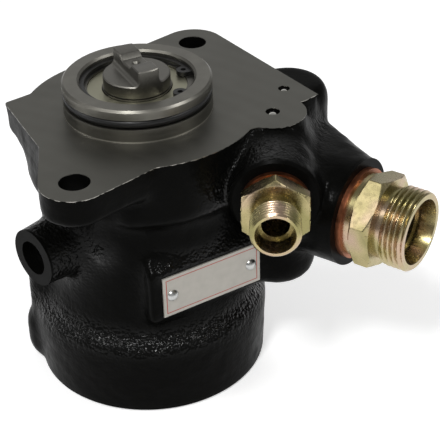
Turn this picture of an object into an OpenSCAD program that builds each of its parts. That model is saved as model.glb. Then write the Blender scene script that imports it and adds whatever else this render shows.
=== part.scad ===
// Vane-type power steering pump with a two-bolt pilot flange, a tang drive
// and two screwed hose unions. Millimetres, +Z up along the shaft.
// The origin is the centre of the pilot spigot at the flange face.

/* [Pilot spigot] */
// Diameter of the pilot spigot
pilot_d = 55; // [53:0.5:60]
// Height of the spigot above the flange face
pilot_h = 12.5; // [11.5:0.5:16]
// Width of the O-ring groove
groove_w = 3.6; // [3:0.1:4]
// Height of the groove's lower side above the flange face
groove_z = 5.2; // [3:0.1:6]
// Chamfer on the spigot's mouth
pilot_chamfer = 0.8; // [0.4:0.1:1.2]

/* [Mounting flange] */
// Thickness of the bolt ears and the left lug
flange_t = 11.5; // [9:0.5:14]
// Bolt circle diameter
bolt_circle = 112; // [106:1:120]
// Direction of the rear bolt ear, in degrees from +X
bolt_angle = 72.5; // [68:0.5:77]
// Bolt hole diameter
bolt_hole_d = 11; // [8.5:0.5:13]
// Outer radius of a bolt ear
ear_r = 12.3; // [11:0.1:14]
// Radius that rounds the corners of the flange outline
corner_r = 1.5; // [0.5:0.5:2.5]
// Radius that fills the inner corners of the flange outline
blend_r = 6; // [2:1:8]
// Reach of the left lug from the shaft axis
lug_reach = 50.3; // [48:0.1:54]
// Reach of the right tip from the shaft axis
tip_reach = 66.6; // [64:0.1:70]

/* [Casting] */
// Height from the flange face down to the foot
body_h = 108.3; // [106:0.1:114]
// Radius of the drum under the flange
drum_r = 42.8; // [42:0.1:44]
// Radius of the drum's swollen front, between the front ear and the ports
swell_r = 45; // [44:0.5:46]
// Depth of the drum below the flange face
drum_h = 22; // [18:1:26]
// Radius of the waist
waist_r = 39.5; // [39:0.5:41]
// Radius at the top of the foot ring
base_top_r = 46.2; // [45.5:0.1:49]
// Radius at the bottom of the foot ring
base_bottom_r = 45; // [44:0.1:46]
// Height of the foot ring
base_h = 27; // [22:1:30]
// Height of the sloped ledge above the foot ring
ledge_h = 9; // [6:1:12]
// Bore of the pot that holds the pumping cartridge
pot_d = 73; // [72:0.5:74]

/* [Port block] */
// Distance of the valve barrel and its galleries from the shaft axis, along X
barrel_x = 50.5; // [49:0.5:54]
// Depth of the valve barrel below the flange face
barrel_z = 18; // [16.5:0.5:22]
// Radius of the valve barrel
barrel_r = 16.4; // [15.5:0.1:17.5]
// Distance of the pressure port face in front of the shaft axis
pressure_face = 37; // [34:1:40]
// Reach of the barrel's closed end behind the shaft axis
barrel_back = 36; // [34:1:40]
// Radius of the upright lobe round the barrel's closed end
back_lobe_r = 15.5; // [14:0.5:17]
// Position of the back lobe along X
back_lobe_x = 54.8; // [53:0.2:57]
// Position of the suction passage along Y
passage_y = -4.4; // [-8:0.2:0]
// Radius of the suction passage lobe
lobe_r = 15; // [13:0.5:17]
// Depth of the lobe's rounded end below the flange face
lobe_depth = 69.5; // [64:0.5:73]
// Direction of the suction port, in degrees from +X
suction_angle = -32; // [-38:1:-26]
// Depth of the suction port below the flange face
suction_z = 31.4; // [29:0.2:35]
// Distance of the suction port face from the passage axis
suction_face = 35.2; // [30:0.2:40]
// Radius of the suction port boss
suction_boss_r = 20.3; // [18.5:0.1:22]

/* [Side plug boss] */
// Direction of the plug boss, in degrees from +X
plug_angle = 225; // [215:1:235]
// Depth of the plug boss below the flange face
plug_z = 42; // [38:1:46]
// Radius of the plug boss
plug_boss_r = 11; // [10.5:0.5:13]
// Distance of the boss face from the shaft axis
plug_face = 53; // [51:0.5:57]
// Thread diameter of the screw plug
plug_d = 12; // [10:1:16]

/* [Name plate] */
// Length of the name plate
plate_w = 42; // [36:1:46]
// Height of the name plate
plate_h = 17; // [14:0.5:18]
// Thickness of the name plate
plate_t = 0.6; // [0.4:0.1:1]
// Direction in which the plate faces, in degrees from +X
plate_angle = -55; // [-60:1:-50]
// Distance of the pad's face from the shaft axis
pad_face = 42; // [41:0.5:44]
// Depth of the plate's centre below the flange face
plate_z = 54.8; // [52:0.2:58]
// Shift of the plate's centre along its pad
plate_shift = 3.3; // [0:0.1:4]
// Head diameter of a plate rivet
rivet_d = 4.6; // [3:0.1:5.5]

/* [Shaft and bearing] */
// Bore of the ball bearing
bearing_d = 20; // [18:1:22]
// Outer diameter of the ball bearing
bearing_od = 42; // [41:0.5:43]
// Width of the ball bearing
bearing_w = 12; // [10:0.5:13]
// Ball diameter
ball_d = 6.6; // [5.5:0.1:7]
// Number of balls
ball_n = 9; // [7:1:10]
// Depth of the bearing below the spigot's mouth
bearing_recess = 3.5; // [3.2:0.1:3.6]
// Diameter of the shaft's drive collar
collar_d = 24.6; // [23:0.1:26]
// Height of the drive collar
collar_h = 5; // [4:0.1:6]
// Width of the drive tang
tang_w = 8; // [6:0.5:10]
// Height of the drive tang above the collar
tang_h = 5.8; // [4:0.1:7]
// Depth of the notch across the middle of the tang
notch_depth = 1.8; // [0.5:0.1:3]
// Half width of the notch's floor
notch_half = 3.3; // [2:0.1:5]
// Direction of the drive tang, in degrees from +X
tang_angle = -61; // [-90:1:90]
// Outer diameter of the shaft seal
seal_d = 32; // [30:1:34]
// Width of the shaft seal
seal_w = 7; // [6:0.5:8]
// Outer diameter of the shaft bush
bush_d = 24; // [23:0.5:26]

/* [Pumping cartridge] */
// Thickness of the front and rear plates
plate_thick = 8; // [6:0.5:9]
// Width of the cam ring
cam_w = 22; // [18:0.5:24]
// Smallest radius of the cam track
cam_min_r = 23; // [22:0.5:25]
// Lift of the cam track
cam_lift = 3; // [2:0.5:4]
// Number of vanes
vane_n = 10; // [8:2:12]
// Thickness of a vane
vane_t = 2; // [1.6:0.1:2.4]
// Depth of a vane slot
slot_depth = 8; // [6:0.5:8]
// Diameter over the shaft's splines
spline_d = 18; // [17:0.5:19]
// Number of splines
spline_n = 12; // [8:1:14]
// Thickness of the end cover
cover_t = 14; // [12:0.5:16]
// Diameter of a dowel pin
dowel_d = 5; // [4:0.5:6]

/* [Unions] */
// Pressure union: thread diameter at the hose end
pressure_thread = 18; // [16:1:20]
// Pressure union: width across flats
pressure_flats = 24; // [23:0.5:27]
// Pressure union: length outside the port face
pressure_l = 22; // [20:0.5:28]
// Pressure union: bore
pressure_bore = 10; // [8:0.5:11]
// Suction union: thread diameter at the hose end
suction_thread = 30; // [28:1:32]
// Suction union: width across flats
suction_flats = 32; // [31:0.5:36]
// Suction union: length outside the port face
suction_l = 25.2; // [23:0.1:30]
// Suction union: bore
suction_bore = 19; // [16:0.5:20]
// Thickness of the copper washers
washer_t = 2; // [1:0.1:3]

/* [Flow control valve] */
// Diameter of the valve spool
spool_d = 16; // [14:0.5:16]
// Length of the valve spool
spool_l = 34; // [28:1:36]
// Working travel of the spool
spool_travel = 6; // [4:0.5:8]
// Wire diameter of the valve spring
spring_wire = 1.8; // [1.4:0.1:2.2]
// Turns of the valve spring
spring_turns = 7; // [5:1:8]

/* [Fits] */
// Radial clearance of running fits
run_gap = 0.05; // [0.02:0.01:0.1]
// Clearance between seated pieces
seat_gap = 0.1; // [0.05:0.01:0.2]
// Clearance between moving pieces that don't touch
free_gap = 0.3; // [0.2:0.05:0.5]

/* [Hidden] */

$fn = 64;
hull_fn = 32;
eps = 0.02;
paint = "#26272a";
iron = "#8a8580";
steel = "#b4b3ae";
zinc = "#b9a86a";
copper = "#b5714a";
black_oxide = "#2b2a29";
rubber = "#161616";
brass = "#8f7a45";
shield_steel = "#b7b196";
bronze = "#a8905a";
vane_steel = "#9a9a98";
cover_iron = "#55534f";
aluminium = "#cfd1cf";

press_gap = seat_gap / 5;
// How far a cutter reaches past the face it opens
over = 1;

// Radii and levels along the shaft
pilot_r = pilot_d / 2;
groove_depth = groove_w - seat_gap;
bearing_top = pilot_h - bearing_recess;
bearing_floor = bearing_top - bearing_w;
shaft_r = bearing_d / 2;
collar_r = collar_d / 2;
collar_top = bearing_top + collar_h;
tang_top = collar_top + tang_h;
circlip_t = 1.6;
circlip_bite = 1;
shaft_clip_bite = 0.8;
shaft_clip_rise = 1.6;
seat_lip = 3;
seal_top = bearing_floor - seat_lip;
seal_floor = seal_top - seal_w;
foot_z = -body_h;
rim_h = 5;
ring_t = 2.5;
ring_bite = 2.2;
pot_r = pot_d / 2;
cartridge_r = pot_r - seat_gap;
cover_floor = foot_z + rim_h + ring_t;
cover_top = cover_floor + cover_t;
spring_gap = 3;
rear_floor = cover_top + spring_gap;
rear_top = rear_floor + plate_thick;
cam_top = rear_top + cam_w;
pot_top = cam_top + plate_thick;
bush_floor = pot_top;
bush_top = seal_floor - seat_lip;
spline_r = spline_d / 2;
spline_depth = 1.2;
tail_step = 0.6;
spline_root_r = spline_r - spline_depth;
tail_r = spline_root_r - tail_step;
rotor_r = cam_min_r - free_gap - seat_gap;
cam_ring_wall = 2.4;
tail_bush_t = 2.4;
rotor_clip_t = 1.5;
slot_relief = 0.4;
cam_ring_r = cartridge_r - cam_ring_wall;
dowel_pcd_r = (cam_min_r + cam_lift + cam_ring_r) / 2;

// Ball bearing
pitch_r = (bearing_d + bearing_od) / 4;
ball_z = bearing_top - bearing_w / 2;
race_share = 0.12;
race_t = (bearing_od - bearing_d) * race_share;

// Points of the flange outline
cheek_angle = -45;
cheek_foot_angle = -75;
cheek_inset = 1;
flank_angle = -172.4;
shoulder_angle = 37.4;
lug_angle = 176.7;
lug_heel_angle = 165.4;
lug_heel_inset = 0.5;
lug_corner_angle = 223;
lug_corner_rise = 1.3;
tip_angle = 7.6;
tip_notch_angle = 4;
tip_notch_depth = 4.8;
gallery_a_inset = 1.2;
gallery_b_reach = 2.9;
gallery_step = 18;
cheek_foot = pol(swell_r - cheek_inset, cheek_foot_angle);
lug_tip = pol(lug_reach, lug_angle);
lug_heel = pol(drum_r - lug_heel_inset, lug_heel_angle);
lug_corner = pol(drum_r + lug_corner_rise, lug_corner_angle);
right_tip = pol(tip_reach, tip_angle);
tip_notch = pol(tip_reach - tip_notch_depth, tip_notch_angle);
gallery_a = [barrel_x - gallery_a_inset, passage_y];
gallery_b = [barrel_x + gallery_b_reach, passage_y + gallery_step];
gallery_a_d = 5.3;
gallery_b_d = 4.4;
gallery_lobe_r = 12.4;
// The turned walls below stand this far outside the flange outline
outline_inset = 0.3;

// Port block
suction_root = [barrel_x, passage_y, -suction_z];
pressure_root = [barrel_x, -pressure_face, -barrel_z];
spool_r = spool_d / 2;
valve_bore_r = spool_r + run_gap;
port_thread_r = 9;
port_thread_l = 13;
suction_thread_r = 13;
suction_thread_l = 14;
barrel_wall = 5;
valve_end = barrel_back - barrel_wall;
union_relief = 2;
counterbore_depth = 3;
counterbore_rim = 0.6;
plug_sink = 4;
plug_depth = 14;
suction_washer_w = 4;
pressure_washer_w = 3.2;
neck_l = 3;
thread_bevel = 0.9;
socket_l = 7;
socket_step = 1.15;
seat_slope = 12;
spool_front = -pressure_face + port_thread_l - union_relief + free_gap;
spool_back = spool_front + spool_l;
spool_stop = spool_back + spool_travel + free_gap;
spool_wall = 2.5;
pocket_r = spool_r - spool_wall;
pocket_l = 5;
spring_clearance = 0.8;
spring_bore_r = pocket_r + spring_clearance;
rivet_inset = 4;

function pol(r, a) = [r * cos(a), r * sin(a)];
function arc(c, r, a0, a1, n) = [for (i = [0:n]) c + pol(r, a0 + (a1 - a0) * i / n)];

// Places its children on an axis that leaves the shaft axis horizontally
module radial(angle, depth) {
    translate([0, 0, -depth]) rotate([0, 0, angle]) rotate([0, 90, 0]) children();
}

// Places its children on the suction port's axis, with Z pointing outwards
module on_suction() {
    translate(suction_root) rotate([0, 0, suction_angle]) rotate([0, 90, 0]) children();
}

// Places its children on the pressure port's face, with Z pointing outwards
module on_pressure() {
    translate(pressure_root) rotate([90, 0, 0]) children();
}

// Ring between two radii, from z0 up to z1
module ring(r_in, r_out, z0, z1) {
    difference() {
        translate([0, 0, z0]) cylinder(r = r_out, h = z1 - z0);
        translate([0, 0, z0 - over]) cylinder(r = r_in, h = z1 - z0 + 2 * over);
    }
}

// One bolt ear with its straight cheeks, drawn at the front-left
module ear_outline(s) {
    ear = -pol(bolt_circle / 2, bolt_angle);
    rotate(s > 0 ? 180 : 0) {
        translate(ear) circle(r = ear_r);
        polygon([ear, ear + pol(ear_r, cheek_angle), cheek_foot, [0, 0]]);
    }
}

// Outline of the machined flange face
module flange_outline() {
    ear = pol(bolt_circle / 2, bolt_angle);
    offset(r = -blend_r) offset(r = blend_r + corner_r) offset(r = -corner_r) {
        circle(r = drum_r - outline_inset);
        intersection() {
            circle(r = swell_r - outline_inset);
            rotate(-90) square(swell_r);
        }
        ear_outline(1);
        ear_outline(-1);
        polygon([-ear, [0, 0], lug_heel, lug_tip, lug_corner, -ear + pol(ear_r, flank_angle)]);
        translate(gallery_a) circle(r = gallery_lobe_r - outline_inset);
    }
    polygon([ear, ear + pol(ear_r, shoulder_angle), right_tip, tip_notch, gallery_a, [0, 0]]);
}

// Turned body: drum, waist, sloped ledge and foot ring
module casting_core() {
    edge_r = 4;
    edge_turn = 70;
    fall = 3;
    ledge_round = 1.2;
    foot_edge = 0.8;
    ledge_top = foot_z + base_h + ledge_h;
    ring_top = foot_z + base_h;
    rotate_extrude($fn = 96) polygon(concat(
        [[0, 0], [drum_r, 0]],
        arc([drum_r - edge_r, -drum_h], edge_r, 0, -edge_turn, 5),
        [[waist_r, -drum_h - edge_r - fall], [waist_r, ledge_top]],
        [[waist_r + ledge_round, ledge_top - ledge_h / 3]],
        [[base_top_r - ledge_round, ring_top + ledge_h / 4]],
        [[base_top_r, ring_top - ledge_round], [base_bottom_r, foot_z + foot_edge]],
        [[base_bottom_r - foot_edge, foot_z], [0, foot_z]]
    ));
}

// Swollen front of the drum, as deep as the drum itself
module drum_swell() {
    edge_r = 4;
    edge_turn = 70;
    start = -94;
    sweep = 84;
    core_r = waist_r - 4;
    fall = 2;
    rotate([0, 0, start]) rotate_extrude(angle = sweep, $fn = 96) polygon(concat(
        [[core_r, 0], [swell_r, 0]],
        arc([swell_r - edge_r, -drum_h], edge_r, 0, -edge_turn, 5),
        [[core_r, -drum_h - edge_r - fall]]
    ));
}

// Pilot spigot with its O-ring groove and chamfered mouth
module spigot() {
    rotate_extrude($fn = 96) polygon([
        [0, -over], [pilot_r, -over], [pilot_r, groove_z], [pilot_r - groove_depth, groove_z],
        [pilot_r - groove_depth, groove_z + groove_w], [pilot_r, groove_z + groove_w],
        [pilot_r, pilot_h - pilot_chamfer], [pilot_r - pilot_chamfer, pilot_h], [0, pilot_h]
    ]);
}

// Horizontal valve barrel with a domed closed end
module valve_barrel() {
    dome_r = 9;
    bevel = 1;
    on_pressure() rotate([180, 0, 0]) rotate_extrude() polygon(concat(
        [[0, 0], [barrel_r - bevel, 0], [barrel_r, bevel]],
        arc([barrel_r - dome_r, pressure_face + barrel_back - dome_r], dome_r, 0, 90, 6),
        [[0, pressure_face + barrel_back]]
    ));
}

// Upright suction passage with a rounded lower end
module passage_lobe() {
    end_r = 7;
    translate([barrel_x, passage_y, 0]) rotate_extrude() polygon(concat(
        [[0, -barrel_z], [0, -lobe_depth]],
        arc([lobe_r - end_r, -lobe_depth + end_r], end_r, -90, 0, 6),
        [[lobe_r, -barrel_z]]
    ));
}

// Shoulder that runs from the valve barrel down to the suction boss
module suction_shoulder() {
    boss_l = 8;
    land = 2;
    root_back = 8;
    root_drop = 16;
    root_h = 32.5;
    root_x = back_lobe_x - 0.8;
    root_r = back_lobe_r - 0.2;
    hull() {
        on_suction() translate([0, 0, suction_face - boss_l])
            cylinder(r = suction_boss_r - eps, h = boss_l - land, $fn = hull_fn);
        translate([root_x, barrel_back - back_lobe_r - root_back, -suction_z - root_drop])
            cylinder(r = root_r, h = root_h, $fn = hull_fn);
    }
}

// Upright lobe round the closed end of the valve barrel
module back_lobe() {
    edge_r = 6;
    top = -1.2;
    wall = 2;
    skirt = 3;
    floor_z = -barrel_z - barrel_r - skirt;
    translate([back_lobe_x, barrel_back + wall - back_lobe_r, 0]) rotate_extrude() polygon(concat(
        [[0, floor_z]],
        arc([back_lobe_r - edge_r, floor_z + edge_r], edge_r, -90, 0, 5),
        arc([back_lobe_r - edge_r, top - edge_r], edge_r, 0, 90, 5),
        [[0, top]]
    ));
}

// Suction boss with its machined face
module suction_boss() {
    on_suction() cylinder(r = suction_boss_r, h = suction_face);
}

// Raised pad that carries the name plate
module plate_pad() {
    root_face = waist_r - 11;
    skin = 1;
    left_margin = 5;
    edge = 2;
    left = plate_shift - plate_w / 2 - left_margin;
    right = plate_shift + plate_w / 2 + edge;
    root_drop = 10;
    root_inset = 3;
    rotate([0, 0, plate_angle]) hull() {
        translate([pad_face - skin, left, -plate_z - plate_h / 2 - edge])
            cube([skin, right - left, plate_h + 2 * edge]);
        translate([root_face, left + root_inset, -plate_z - plate_h / 2 - root_drop])
            cube([skin, right - left - 2 * root_inset, plate_h + 2 * root_drop]);
    }
}

// Boss of the side plug, with the upright rib that joins it to the foot ring
module plug_boss() {
    boss_taper = 4;
    rib_r = 10;
    rib_angle = 189;
    rib_rise = 1.4;
    rib_reach = base_top_r + rib_rise - rib_r;
    rib_drop = 7;
    rib_top = -plug_z - plug_boss_r - rib_drop;
    heel_h = 18;
    heel_swell = 2.6;
    heel_floor = 5;
    toe_floor = 1.5;
    skin = 1;
    rib = pol(rib_reach, rib_angle);
    radial(plug_angle, plug_z) cylinder(r1 = plug_boss_r + boss_taper, r2 = plug_boss_r, h = plug_face);
    hull() {
        translate(concat(rib, rib_top)) sphere(r = rib_r, $fn = hull_fn);
        translate(concat(rib, foot_z + heel_h)) cylinder(r = rib_r, h = skin, $fn = hull_fn);
    }
    hull() {
        translate(concat(pol(rib_reach + heel_swell, rib_angle), foot_z + heel_floor))
            cylinder(r = rib_r, h = heel_h + skin - heel_floor, $fn = hull_fn);
        translate(concat(rib, foot_z + toe_floor)) cylinder(r = rib_r, h = skin, $fn = hull_fn);
    }
}

// Everything that is bored, drilled or tapped into the casting
module housing_cuts() {
    bearing_r = bearing_od / 2;
    bearing_seat_h = bearing_w + bearing_recess + over;
    cross_d = suction_bore - 3;
    upright_d = suction_bore - 5;
    inlet_d = 7;
    inlet_bite = 3;
    lobe_wall = 5.5;
    feed_d = 6;
    feed_y = 12;
    feed_inset = 6;
    feed_sink = 2;
    feed_top = [barrel_x - spool_r, feed_y, -barrel_z - spool_r / 2];
    feed_foot = [pot_r - feed_inset, feed_y, pot_top - feed_sink];
    feed = feed_top - feed_foot;
    // Shaft line: circlip groove, bearing seat, seal seat and bush seat
    translate([0, 0, bearing_floor]) cylinder(r = bearing_r + press_gap, h = bearing_seat_h);
    translate([0, 0, bearing_top]) cylinder(r = bearing_r + circlip_bite, h = circlip_t + seat_gap);
    translate([0, 0, pilot_h - pilot_chamfer])
        cylinder(r1 = bearing_r, r2 = bearing_r + pilot_chamfer + eps, h = pilot_chamfer + eps);
    translate([0, 0, seal_floor]) cylinder(r = seal_d / 2, h = seal_w + seat_lip + eps);
    translate([0, 0, pot_top - over]) cylinder(r = bush_d / 2, h = seal_floor - pot_top + 2 * over);
    // Cartridge pot, open at the foot, with the retaining ring's groove
    translate([0, 0, foot_z - over]) cylinder(r = pot_r, h = pot_top - foot_z + over);
    translate([0, 0, foot_z + rim_h - seat_gap]) cylinder(r = pot_r + ring_bite, h = ring_t + 2 * seat_gap);
    // Bolt holes and plugged galleries
    for (s = [-1, 1]) {
        translate(concat(s * pol(bolt_circle / 2, bolt_angle), -flange_t - over))
            cylinder(d = bolt_hole_d, h = flange_t + 2 * over);
    }
    translate(concat(gallery_a, -barrel_z)) cylinder(d = gallery_a_d, h = barrel_z + over);
    translate(concat(gallery_b, -barrel_z)) cylinder(d = gallery_b_d, h = barrel_z + over);
    // Spring bore, valve bore up to its stop, and the pressure union's thread
    on_pressure() {
        translate([0, 0, -pressure_face - valve_end])
            cylinder(r = spring_bore_r, h = pressure_face + valve_end);
        translate([0, 0, -pressure_face - spool_stop])
            cylinder(r = valve_bore_r, h = pressure_face + spool_stop);
        translate([0, 0, -port_thread_l]) cylinder(r = port_thread_r, h = port_thread_l + over);
    }
    // Suction thread, cross passage, upright passage and the drilling into the pot
    on_suction() {
        translate([0, 0, suction_face - suction_thread_l])
            cylinder(r = suction_thread_r, h = suction_thread_l + over);
        cylinder(d = cross_d, h = suction_face);
    }
    translate([barrel_x, passage_y, -lobe_depth + lobe_wall])
        cylinder(d = upright_d, h = lobe_depth - suction_z - lobe_wall);
    translate([pot_r - inlet_bite, passage_y, -lobe_depth + lobe_wall + inlet_d / 2])
        rotate([0, 90, 0]) cylinder(d = inlet_d, h = barrel_x - pot_r + inlet_bite);
    // Slanted pressure feed from the pot to the valve bore
    translate(feed_foot) rotate([0, acos(feed[2] / norm(feed)), atan2(feed[1], feed[0])])
        cylinder(d = feed_d, h = norm(feed) + 2 * over);
    // Side plug: counterbore and thread
    radial(plug_angle, plug_z) {
        translate([0, 0, plug_face - counterbore_depth])
            cylinder(r = plug_d / 2 + counterbore_rim, h = counterbore_depth + over);
        translate([0, 0, plug_face - plug_depth]) cylinder(d = plug_d, h = plug_depth);
    }
}

// One iron casting: flange, spigot, drum, foot ring, port block and bosses
module pump_housing() {
    pimple_r = 3;
    pimple_angle = 252;
    pimple_z = -40;
    pimple_reach = waist_r - 0.6;
    color(paint) difference() {
        union() {
            casting_core();
            drum_swell();
            translate([0, 0, -flange_t]) linear_extrude(flange_t) flange_outline($fn = 48);
            spigot();
            valve_barrel();
            translate(concat(gallery_a, -barrel_z)) cylinder(r = gallery_lobe_r, h = barrel_z);
            passage_lobe();
            back_lobe();
            suction_shoulder();
            suction_boss();
            plate_pad();
            plug_boss();
            translate(concat(pol(pimple_reach, pimple_angle), pimple_z)) sphere(r = pimple_r);
        }
        housing_cuts();
    }
}

// Sealing ring in the spigot's groove
module pilot_o_ring() {
    r = groove_w / 2 - seat_gap;
    color(rubber) rotate_extrude($fn = 96)
        translate([pilot_r - r - seat_gap / 2, groove_z + groove_w / 2]) circle(r = r, $fn = 32);
}

// Tang across the shaft's end, with rounded roots and a notch across its middle
module drive_tang() {
    root_r = 2;
    root_sink = 0.05;
    half = tang_w / 2;
    reach = collar_r + over;
    mouth_half = notch_half + notch_depth + over;
    profile = concat(
        [[half + root_r, -over]],
        arc([half + root_r, root_r - root_sink], root_r, -90, -180, 6),
        [[half, tang_h], [-half, tang_h]],
        arc([-half - root_r, root_r - root_sink], root_r, 0, -90, 6),
        [[-half - root_r, -over]]
    );
    notch = [
        [-notch_half, tang_h - notch_depth], [notch_half, tang_h - notch_depth],
        [mouth_half, tang_h + over], [-mouth_half, tang_h + over]
    ];
    difference() {
        intersection() {
            translate([0, 0, collar_top - over]) cylinder(r = collar_r, h = tang_h + over);
            translate([0, 0, collar_top]) rotate([90, 0, 90 + tang_angle])
                translate([0, 0, -reach]) linear_extrude(2 * reach) polygon(profile);
        }
        translate([0, 0, collar_top]) rotate([90, 0, tang_angle])
            translate([0, 0, -reach]) linear_extrude(2 * reach) polygon(notch);
    }
}

// Shaft with drive tang, collar, journal, splines and tail
module drive_shaft() {
    clip_z = bearing_floor - circlip_t - seat_gap;
    tail_end = cover_top + free_gap;
    centre_z = tang_top - notch_depth;
    centre_r = 1.6;
    centre_h = 1.2;
    color(steel) difference() {
        union() {
            translate([0, 0, bearing_top]) cylinder(r = collar_r, h = collar_h);
            drive_tang();
            translate([0, 0, pot_top - over]) cylinder(r = shaft_r, h = bearing_top - pot_top + over + eps);
            translate([0, 0, rear_top + run_gap]) linear_extrude(pot_top - rear_top - over) spline_outline(0);
            translate([0, 0, tail_end]) cylinder(r = tail_r, h = pot_top - tail_end);
        }
        ring(shaft_r - shaft_clip_bite, shaft_r + over, clip_z - seat_gap, clip_z + circlip_t);
        translate([0, 0, centre_z - centre_h]) cylinder(r1 = centre_r / 4, r2 = centre_r, h = centre_h + eps);
    }
}

// Spline section, grown by a clearance
module spline_outline(gap) {
    tooth_w = 2;
    circle(r = spline_root_r + gap);
    for (i = [0:spline_n - 1]) {
        rotate(i * 360 / spline_n) translate([0, -tooth_w / 2 - gap])
            square([spline_r + gap, tooth_w + 2 * gap]);
    }
}

// Ball track that is ground into both races
module ball_track() {
    translate([0, 0, ball_z]) rotate_extrude() translate([pitch_r, 0]) circle(d = ball_d + 2 * run_gap);
}

// Bearing race that is pressed into the spigot
module bearing_outer_race() {
    color(steel) difference() {
        ring(bearing_od / 2 - race_t, bearing_od / 2, bearing_floor, bearing_top);
        ball_track();
    }
}

// Bearing race that is pressed onto the shaft
module bearing_inner_race() {
    color(steel) difference() {
        ring(shaft_r + press_gap, shaft_r + race_t, bearing_floor, bearing_top);
        ball_track();
    }
}

// Balls at equal steps round the bearing, grown by a clearance
module ball_row(gap) {
    for (i = [0:ball_n - 1]) {
        rotate([0, 0, i * 360 / ball_n]) translate([pitch_r, 0, ball_z]) sphere(d = ball_d + 2 * gap);
    }
}

// Balls between the two races
module bearing_balls() {
    color(steel) ball_row(0);
}

// Pressed cage that keeps the balls apart
module bearing_cage() {
    cage_t = 1.6;
    cage_lip = 1.2;
    cage_half = ball_d / 2 + cage_lip;
    color(brass) difference() {
        ring(pitch_r - cage_t / 2, pitch_r + cage_t / 2, ball_z - cage_half, ball_z + cage_half);
        ball_row(run_gap);
    }
}

// Pressed steel shield over the balls, set into the outer race
module bearing_shield() {
    shield_t = 0.5;
    inset = 0.6;
    color(shield_steel) ring(
        shaft_r + race_t + free_gap, bearing_od / 2 - race_t - seat_gap,
        bearing_top - inset - shield_t, bearing_top - inset
    );
}

// Eyed snap ring in the spigot's mouth that holds the bearing
module bearing_circlip() {
    clip_w = 2.6;
    gap_angle = 0;
    gap_half = 20;
    eye_r = 2.6;
    eye_hole_r = 1;
    eye_sink = 0.8;
    eye_step = 8;
    clip_r = bearing_od / 2 + circlip_bite - seat_gap;
    eye_reach = clip_r - clip_w - eye_sink;
    low = bearing_top + seat_gap / 2;
    cut_h = circlip_t + 2 * over;
    color(black_oxide) difference() {
        union() {
            ring(clip_r - clip_w, clip_r, low, bearing_top + circlip_t);
            for (s = [-1, 1]) {
                translate(concat(pol(eye_reach, gap_angle + s * (gap_half + eye_step)), low))
                    cylinder(r = eye_r, h = circlip_t - seat_gap / 2);
            }
        }
        rotate([0, 0, gap_angle - gap_half]) translate([0, 0, bearing_top - over])
            rotate_extrude(angle = 2 * gap_half)
            translate([clip_r - 2 * clip_w, 0]) square([3 * clip_w, cut_h]);
        for (s = [-1, 1]) {
            translate(concat(pol(eye_reach, gap_angle + s * (gap_half + eye_step)), bearing_top - over))
                cylinder(r = eye_hole_r, h = cut_h);
        }
    }
}

// Snap ring on the shaft under the bearing
module shaft_circlip() {
    gap_w = 6;
    clip_z = bearing_floor - circlip_t - seat_gap;
    color(black_oxide) difference() {
        ring(
            shaft_r - shaft_clip_bite + seat_gap, shaft_r + shaft_clip_rise,
            clip_z, clip_z + circlip_t - seat_gap
        );
        translate([0, -gap_w / 2, clip_z - over]) cube([2 * shaft_r, gap_w, circlip_t + 2 * over]);
    }
}

// Lip seal between the bearing and the bush
module shaft_seal() {
    case_t = 1.2;
    lip_h = 3;
    lip_edge = 0.8;
    lip_slope = 1.5;
    web = 2.4;
    r = seal_d / 2 - press_gap;
    bore_r = shaft_r + run_gap;
    lip_z = seal_floor + lip_h;
    top = seal_floor + seal_w;
    color(rubber) rotate_extrude() polygon([
        [bore_r, lip_z], [bore_r, lip_z + lip_edge], [bore_r + lip_slope, top], [r, top],
        [r, seal_floor + press_gap], [r - case_t, seal_floor + press_gap], [r - case_t, top - case_t],
        [bore_r + web, top - case_t], [bore_r + case_t, lip_z]
    ]);
}

// Plain bush that carries the shaft below the seal
module shaft_bush() {
    color(bronze) ring(shaft_r + run_gap, bush_d / 2 - press_gap, bush_floor + seat_gap, bush_top);
}

// Kidney-shaped port through a cartridge plate
module kidney(mid_r, width, a0, a1, z0, h) {
    rotate([0, 0, a0]) translate([0, 0, z0]) rotate_extrude(angle = a1 - a0)
        translate([mid_r - width / 2, 0]) square([width, h]);
    for (a = [a0, a1]) {
        translate(concat(pol(mid_r, a), z0)) cylinder(d = width, h = h);
    }
}

// Cartridge plate with two inlet and two outlet kidneys and the dowel holes
module port_plate(z0, z1, bore_r) {
    kidney_r = cam_min_r - 1;
    kidney_w = 5;
    kidney_half = 17;
    difference() {
        ring(bore_r, cartridge_r, z0, z1);
        for (a = [45, 135, 225, 315]) {
            kidney(kidney_r, kidney_w, a - kidney_half, a + kidney_half, z0 - over, z1 - z0 + 2 * over);
        }
        dowel_holes(z0, z1);
    }
}

// Holes for the two dowel pins
module dowel_holes(z0, z1) {
    for (s = [-1, 1]) {
        translate([0, s * dowel_pcd_r, z0 - over])
            cylinder(d = dowel_d + 2 * seat_gap, h = z1 - z0 + 2 * over);
    }
}

// Cartridge plate on the shaft's drive side
module front_plate() {
    color(iron) port_plate(cam_top + press_gap, pot_top - press_gap, shaft_r + free_gap);
}

// Cartridge plate on the cover's side, bored for the tail bush
module rear_plate() {
    color(iron) port_plate(rear_floor, rear_top - press_gap, tail_r + tail_bush_t + seat_gap);
}

// Oval cam track: two lifts per turn
function cam_r(a) = cam_min_r + cam_lift * (1 - cos(2 * a)) / 2;

// Ring whose oval track drives the vanes
module cam_ring() {
    track_n = 72;
    color(steel) difference() {
        translate([0, 0, rear_top]) cylinder(r = cam_ring_r, h = cam_w);
        translate([0, 0, rear_top - over]) linear_extrude(cam_w + 2 * over)
            polygon([for (i = [0:track_n - 1]) pol(cam_r(i * 360 / track_n), i * 360 / track_n)]);
        dowel_holes(rear_top, cam_top);
    }
}

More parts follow.
